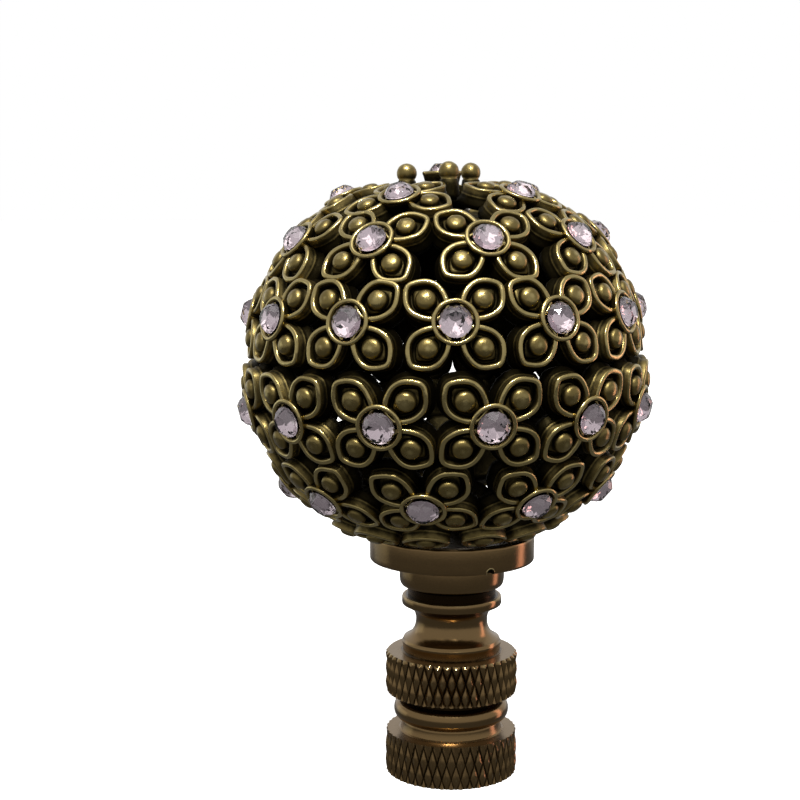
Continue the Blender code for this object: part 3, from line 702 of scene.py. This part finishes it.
def knurled_base(material):
    """Turned base: a grid of columns and rows, closed at the blind end of the bore and at the top."""
    rows = base_rows()
    columns = np.arange(BASE_COLUMNS)
    angles = 2.0 * np.pi * columns / BASE_COLUMNS + math.radians(KNURL_PHASE_DEG)
    points = [(0.0, 0.0, BORE_DEPTH)]
    relief = [0.0]
    for entry in rows:
        for column, angle in zip(columns, angles):
            radius, shade = entry["radius"], entry["relief"]
            if entry["knurl"]:
                radius, shade = knurled_radius(float(column), entry)
            elif entry.get("thread"):
                turns = entry["height"] / THREAD_PITCH + angle / (2.0 * math.pi)
                ridge = 1.0 - abs(2.0 * (turns % 1.0) - 1.0)
                radius -= THREAD_DEPTH * ridge * entry["thread"]
                shade = 0.10 + 0.55 * ridge
            points.append((radius * math.sin(angle), -radius * math.cos(angle), entry["height"]))
            relief.append(shade)
    points.append((0.0, 0.0, BASE_TOP))
    relief.append(0.0)
    faces = []
    last = len(points) - 1
    for column in range(BASE_COLUMNS):
        after = (column + 1) % BASE_COLUMNS
        faces.append((0, 1 + after, 1 + column))
        top = 1 + (len(rows) - 1) * BASE_COLUMNS
        faces.append((last, top + column, top + after))
        for k in range(len(rows) - 1):
            a = 1 + k * BASE_COLUMNS + column
            b = 1 + k * BASE_COLUMNS + after
            c, d = b + BASE_COLUMNS, a + BASE_COLUMNS
            if rows[k]["knurl"] and rows[k + 1]["knurl"]:
                if (column - math.floor(rows[k]["row"] + 0.001)) % DIAMOND_STEPS == 0:
                    faces += [(a, b, c), (a, c, d)]
                else:
                    faces += [(a, b, d), (b, c, d)]
            else:
                faces.append((a, b, c, d))
    thing = mesh_object("turned_knurled_base", points, faces, relief)
    thing.data.set_sharp_from_angle(angle=math.radians(BASE_SHARP_DEG))
    thing.data.materials.append(material)
    return thing


def lathe(name, profile, columns):
    """Closed turned body from (radius, height, relief) rows, bottom centre to top centre."""
    form = Relief()
    circle = -1j * np.exp(2j * np.pi * np.arange(columns) / columns)
    rings = [form.add_ring(circle * radius, height, relief) for radius, height, relief in profile[1:-1]]
    for lower, upper in zip(rings, rings[1:]):
        form.join(lower, upper)
    form.close(rings[0][::-1], form.add_point((0.0, 0.0, profile[0][1]), profile[0][2]))
    form.close(rings[-1], form.add_point((0.0, 0.0, profile[-1][1]), profile[-1][2]))
    return mesh_object(name, form.points, form.faces, form.relief)


def seat_cup(material):
    """Turned cup, from its spigot up to the floor of the recess."""
    floor = DRUM_TOP - RECESS_DEPTH
    profile = [(0.0, BASE_TOP - 0.02, 0.0), (SPIGOT_RADIUS, BASE_TOP - 0.02, 0.0),
               (SPIGOT_RADIUS, COLLAR_BOTTOM - 0.22, 0.0), (4.70, COLLAR_BOTTOM - 0.04, 0.10),
               (4.92, COLLAR_BOTTOM, 0.85), (5.07, COLLAR_BOTTOM + 0.03, 0.85),
               (5.20, COLLAR_BOTTOM + 0.11, 0.6), (5.31, COLLAR_BOTTOM + 0.26, 0.5),
               (5.38, COLLAR_BOTTOM + 0.48, 0.5), (5.42, COLLAR_BOTTOM + 0.78, 0.5),
               (COLLAR_RADIUS, COLLAR_BOTTOM + 1.15, 0.5),
               (COLLAR_RADIUS, DRUM_BOTTOM - 0.14, 0.45),
               (COLLAR_RADIUS - 0.03, DRUM_BOTTOM - 0.02, 0.15), (COLLAR_RADIUS + 0.05, DRUM_BOTTOM, 0.1),
               (DRUM_RADIUS - 0.24, DRUM_BOTTOM, 0.35), (DRUM_RADIUS - 0.10, DRUM_BOTTOM + 0.04, 0.8),
               (DRUM_RADIUS - 0.02, DRUM_BOTTOM + 0.14, 0.75), (DRUM_RADIUS, DRUM_BOTTOM + 0.30, 0.5),
               (DRUM_RADIUS, DRUM_BOTTOM + 0.70, 0.5), (DRUM_RADIUS, DRUM_BOTTOM + 1.20, 0.5),
               (DRUM_RADIUS, DRUM_TOP - 0.30, 0.5), (DRUM_RADIUS - 0.03, DRUM_TOP - 0.12, 0.65),
               (DRUM_RADIUS - 0.12, DRUM_TOP - 0.02, 0.8), (DRUM_RADIUS - 0.26, DRUM_TOP, 0.6),
               (RECESS_RADIUS + 0.05, DRUM_TOP, 0.3), (RECESS_RADIUS, DRUM_TOP - 0.05, 0.2),
               (RECESS_RADIUS, floor + 0.05, 0.0), (RECESS_RADIUS - 0.10, floor, 0.0), (0.0, floor, 0.0)]
    thing = lathe("turned_seat_cup", profile, CUP_COLUMNS)
    cut_vent(thing)
    add_vent_lip(thing)
    thing.data.set_sharp_from_angle(angle=math.radians(CUP_SHARP_DEG))
    thing.data.materials.append(material)
    return thing


def vent_place():
    """Matrix that lays a vent's own Z along the drum's radius, at the lower edge."""
    azimuth = math.radians(VENT_AZIMUTH_DEG)
    outward = Vector((math.sin(azimuth), -math.cos(azimuth), 0.0))
    spot = outward * DRUM_RADIUS + Vector((0.0, 0.0, DRUM_BOTTOM + VENT_RISE))
    return Matrix.Translation(spot * MM) @ outward.to_track_quat("Z", "X").to_matrix().to_4x4()


def cut_vent(cup):
    """Drills the small hole into the drum's lower edge."""
    bm = bmesh.new()
    reach = VENT_RADIUS * MM
    bmesh.ops.create_cone(bm, cap_ends=True, segments=VENT_DRILL_SIDES, radius1=reach, radius2=reach,
                          depth=VENT_DRILL_DEPTH * MM, matrix=vent_place())
    cutter = new_object("vent_drill", finished_mesh("vent_drill", bm))
    boolean = cup.modifiers.new("Vent", "BOOLEAN")
    boolean.operation = "DIFFERENCE"
    boolean.solver = "EXACT"
    boolean.object = cutter
    evaluated = cup.evaluated_get(bpy.context.evaluated_depsgraph_get())
    pierced = bpy.data.meshes.new_from_object(evaluated)
    cup.modifiers.remove(boolean)
    cup.data = pierced
    bpy.data.objects.remove(cutter, do_unlink=True)


def add_vent_lip(cup):
    """Raised lip that the drill left around the hole, thickest in its middle."""
    lip = Relief()
    sections = []
    for step in range(VENT_LIP_SECTIONS):
        share = step / (VENT_LIP_SECTIONS - 1.0)
        turn = math.radians(VENT_LIP_START_DEG + VENT_LIP_SWEEP_DEG * share)
        girth = VENT_LIP * (0.25 + 0.75 * math.sin(math.pi * share))
        section = []
        for k in range(VENT_LIP_SIDES):
            angle = 2.0 * math.pi * k / VENT_LIP_SIDES
            reach = VENT_RADIUS + VENT_LIP_GAP + girth * (1.0 + math.cos(angle))
            place = (reach * math.cos(turn), reach * math.sin(turn), -VENT_LIP_GAP + girth * math.sin(angle))
            section.append(lip.add_point(place, 1.0))
        sections.append(section)
    for first, second in zip(sections, sections[1:]):
        lip.join(first, second)
    for section in (sections[0][::-1], sections[-1]):
        middle = np.mean([lip.points[k] for k in section], axis=0)
        lip.close(section, lip.add_point(tuple(middle), 1.0))
    place = vent_place()
    bm = bmesh.new()
    bm.from_mesh(cup.data)
    layer = bm.verts.layers.float["relief"]
    verts = [bm.verts.new(place @ (Vector(point) * MM)) for point in lip.points]
    for vert in verts:
        vert[layer] = 1.0
    made = [bm.faces.new([verts[k] for k in face]) for face in lip.faces]
    bmesh.ops.recalc_face_normals(bm, faces=made)
    for face in bm.faces:
        face.smooth = True
    bm.to_mesh(cup.data)
    bm.free()


def new_material(name):
    """Material and its main shader."""
    material = bpy.data.materials.new(name)
    material.use_nodes = True
    return material, material.node_tree.nodes["Principled BSDF"]


def noise_texture(nodes, links, vector, scale, detail=4.0, roughness=0.55):
    texture = nodes.new("ShaderNodeTexNoise")
    texture.inputs["Scale"].default_value = scale
    texture.inputs["Detail"].default_value = detail
    texture.inputs["Roughness"].default_value = roughness
    links.new(vector, texture.inputs["Vector"])
    return texture


def map_range(nodes, links, value, low, high, to_low, to_high):
    node = nodes.new("ShaderNodeMapRange")
    node.interpolation_type = "SMOOTHSTEP"
    node.inputs["From Min"].default_value = low
    node.inputs["From Max"].default_value = high
    node.inputs["To Min"].default_value = to_low
    node.inputs["To Max"].default_value = to_high
    links.new(value, node.inputs["Value"])
    return node.outputs["Result"]


def mix_colour(nodes, links, factor, first, second):
    node = nodes.new("ShaderNodeMix")
    node.data_type = "RGBA"
    links.new(factor, node.inputs[0])
    for socket, colour in ((node.inputs[6], first), (node.inputs[7], second)):
        if isinstance(colour, tuple):
            socket.default_value = colour + (1.0,)
        else:
            links.new(colour, socket)
    return node.outputs[2]


def add_values(nodes, links, first, second, factor=1.0):
    node = nodes.new("ShaderNodeMath")
    node.operation = "MULTIPLY_ADD"
    links.new(second, node.inputs[0])
    node.inputs[1].default_value = factor
    links.new(first, node.inputs[2])
    return node.outputs[0]


def antique_brass(name, colours, recess, rubbed, roughness_range, stain_share, bump_scale, bump_reach):
    """Brass with dark patina in its recesses and rubbed bright edges, led by the relief attribute."""
    dark, middle, bright = colours
    material, shader = new_material(name)
    nodes, links = material.node_tree.nodes, material.node_tree.links
    shader.inputs["Metallic"].default_value = 1.0
    place = nodes.new("ShaderNodeTexCoord").outputs["Object"]
    relief = nodes.new("ShaderNodeAttribute")
    relief.attribute_name = "relief"
    stain = noise_texture(nodes, links, place, scale=520.0, detail=5.0, roughness=0.62)
    spread = map_range(nodes, links, stain.outputs["Fac"], 0.25, 0.75, -0.5, 0.5)
    level = add_values(nodes, links, relief.outputs["Fac"], spread, stain_share)
    patina = map_range(nodes, links, level, *recess, 0.0, 1.0)
    rub = map_range(nodes, links, level, *rubbed, 0.0, 1.0)
    body = mix_colour(nodes, links, patina, dark, middle)
    colour = mix_colour(nodes, links, rub, body, bright)
    links.new(colour, shader.inputs["Base Color"])
    rough_low, rough_high = roughness_range
    fine = noise_texture(nodes, links, place, scale=2600.0, detail=3.0, roughness=0.6)
    roughness = map_range(nodes, links, level, recess[0], rubbed[1], rough_high, rough_low)
    roughness = add_values(nodes, links, roughness, fine.outputs["Fac"], 0.08)
    links.new(roughness, shader.inputs["Roughness"])
    bump = nodes.new("ShaderNodeBump")
    bump.inputs["Strength"].default_value = 0.6
    bump.inputs["Distance"].default_value = bump_reach
    grain = noise_texture(nodes, links, place, scale=bump_scale, detail=4.0, roughness=0.6)
    links.new(grain.outputs["Fac"], bump.inputs["Height"])
    links.new(bump.outputs["Normal"], shader.inputs["Normal"])
    return material


def clear_glass():
    """Glass of the stones' crowns."""
    material, shader = new_material("clear_cut_glass")
    shader.inputs["Base Color"].default_value = (0.98, 0.95, 0.96, 1.0)
    shader.inputs["Roughness"].default_value = 0.0
    shader.inputs["IOR"].default_value = 1.56
    shader.inputs["Transmission Weight"].default_value = 1.0
    return material


def stone_foil():
    """Mirror foil on the stones' backs."""
    material, shader = new_material("stone_foil")
    shader.inputs["Base Color"].default_value = (0.50, 0.43, 0.46, 1.0)
    shader.inputs["Metallic"].default_value = 1.0
    shader.inputs["Roughness"].default_value = 0.05
    return material


def area_light(name, place, size, power, colour):
    """Rectangular light that looks at the finial."""
    data = bpy.data.lights.new(name, "AREA")
    data.shape = "RECTANGLE"
    data.size, data.size_y = size
    data.energy = power
    data.color = colour
    light = new_object(name, data)
    light.location = place
    light.rotation_euler = (Vector(LIGHT_AIM) - Vector(place)).to_track_quat("-Z", "Y").to_euler()


def plain_surface(name, colour, emission=0.0):
    """Matt surface of the stage, which may glow."""
    material, shader = new_material(name)
    shader.inputs["Base Color"].default_value = colour
    shader.inputs["Roughness"].default_value = 0.9
    shader.inputs["Specular IOR Level"].default_value = 0.1
    shader.inputs["Emission Color"].default_value = (1.0, 1.0, 1.0, 1.0)
    shader.inputs["Emission Strength"].default_value = emission
    return material


def glowing_shell(name, radius, band, levels):
    """Sphere around the stage that glows more above a band of heights than below it."""
    bm = bmesh.new()
    bmesh.ops.create_icosphere(bm, subdivisions=4, radius=radius)
    bmesh.ops.reverse_faces(bm, faces=bm.faces)
    mesh = finished_mesh(name, bm)
    material = plain_surface(name, (0.0, 0.0, 0.0, 1.0))
    nodes, links = material.node_tree.nodes, material.node_tree.links
    axes = nodes.new("ShaderNodeSeparateXYZ")
    links.new(nodes.new("ShaderNodeTexCoord").outputs["Object"], axes.inputs[0])
    glow = map_range(nodes, links, axes.outputs["Z"], *band, *levels)
    links.new(glow, nodes["Principled BSDF"].inputs["Emission Strength"])
    mesh.materials.append(material)
    shell = new_object(name, mesh)
    shell.visible_diffuse = False
    shell.visible_shadow = False
    return shell


def add_camera():
    """Camera at the photograph's place and angle."""
    data = bpy.data.cameras.new("camera")
    data.lens = CAMERA_LENS
    data.sensor_width = CAMERA_SENSOR
    data.shift_x = CAMERA_SHIFT_X
    data.clip_start = 0.01
    data.clip_end = 20.0
    camera = new_object("camera", data)
    camera.location = Vector(CAMERA_PLACE) * MM
    camera.rotation_euler = (math.radians(90.0 - CAMERA_PITCH_DEG), math.radians(CAMERA_ROLL_DEG), 0.0)
    bpy.context.scene.camera = camera


def build_stage():
    """Pale floor, a white surround for the camera, a dome for the reflections, lights and the camera."""
    bm = bmesh.new()
    bmesh.ops.create_circle(bm, cap_ends=True, radius=FLOOR_RADIUS, segments=64)
    floor = new_object("pale_floor", finished_mesh("pale_floor", bm))
    floor.data.materials.append(plain_surface("pale_floor", (0.92, 0.92, 0.91, 1.0), 1.0))
    floor.visible_glossy = False
    floor.visible_transmission = False
    surround = glowing_shell("white_surround", *SURROUND_SHELL)
    surround.visible_glossy = False
    dome = glowing_shell("reflected_dome", *REFLECTED_SHELL)
    dome.visible_camera = False
    dome.visible_transmission = False
    world = bpy.data.worlds.new("soft_studio")
    world.use_nodes = True
    world.node_tree.nodes["Background"].inputs["Color"].default_value = STUDIO_COLOUR
    world.node_tree.nodes["Background"].inputs["Strength"].default_value = STUDIO_STRENGTH
    bpy.context.scene.world = world
    for light in LIGHTS:
        area_light(*light)
    add_camera()
    bpy.context.scene.view_settings.view_transform = "Standard"


def row_stone_nodes(label, rows):
    """Names of the solids of the stones in one half."""
    return [f"{label}_row{row + 1}_{k + 1:02d}_stone"
            for row, (count, _, _) in enumerate(rows) for k in range(count)]


def build_finial():
    """All pieces of the finial, each with its body and the solids that it takes the place of."""
    cast = antique_brass("antique_cast_brass", CAST_COLOURS, recess=(0.06, 0.55), rubbed=(0.66, 1.04),
                         roughness_range=(0.16, 0.48), stain_share=0.30, bump_scale=2200.0,
                         bump_reach=0.00005)
    turned = antique_brass("satin_turned_brass", TURNED_COLOURS, recess=(0.04, 0.22), rubbed=(0.72, 1.05),
                           roughness_range=(0.09, 0.24), stain_share=0.12, bump_scale=3200.0,
                           bump_reach=0.00001)
    glass = clear_glass()
    foil = stone_foil()
    tree = ring_tree()
    base = knurled_base(turned)
    cup = seat_cup(turned)
    pairs = ring_of(tree, pair_object("pair"), PAIR_COUNT, PAIR_AZIMUTH_DEG, cast)
    upper = filigree_half("upper_cast_half", 1, UPPER_ROWS, tree, cast, (crown_mesh(),))
    lower = filigree_half("lower_cast_half", -1, LOWER_ROWS, tree, cast, (pairs,))
    upper_stones = stones("upper_stones", 1, UPPER_ROWS, glass, foil, crown=True)
    lower_stones = stones("lower_stones", -1, LOWER_ROWS, glass, foil)
    for piece, slot, nodes in (
        (base, "turned_brass", ["knurled_base"]),
        (cup, "turned_brass", ["seat_cup"]),
        (upper, "cast_brass", ["upper_filigree_half"]),
        (lower, "cast_brass", ["lower_filigree_half"]),
        (upper_stones, "clear_stone", row_stone_nodes("upper", UPPER_ROWS) + ["crown_stone"]),
        (lower_stones, "clear_stone", row_stone_nodes("lower", LOWER_ROWS)),
    ):
        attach(piece, "root")
        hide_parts(*nodes)


build_finial()
build_stage()
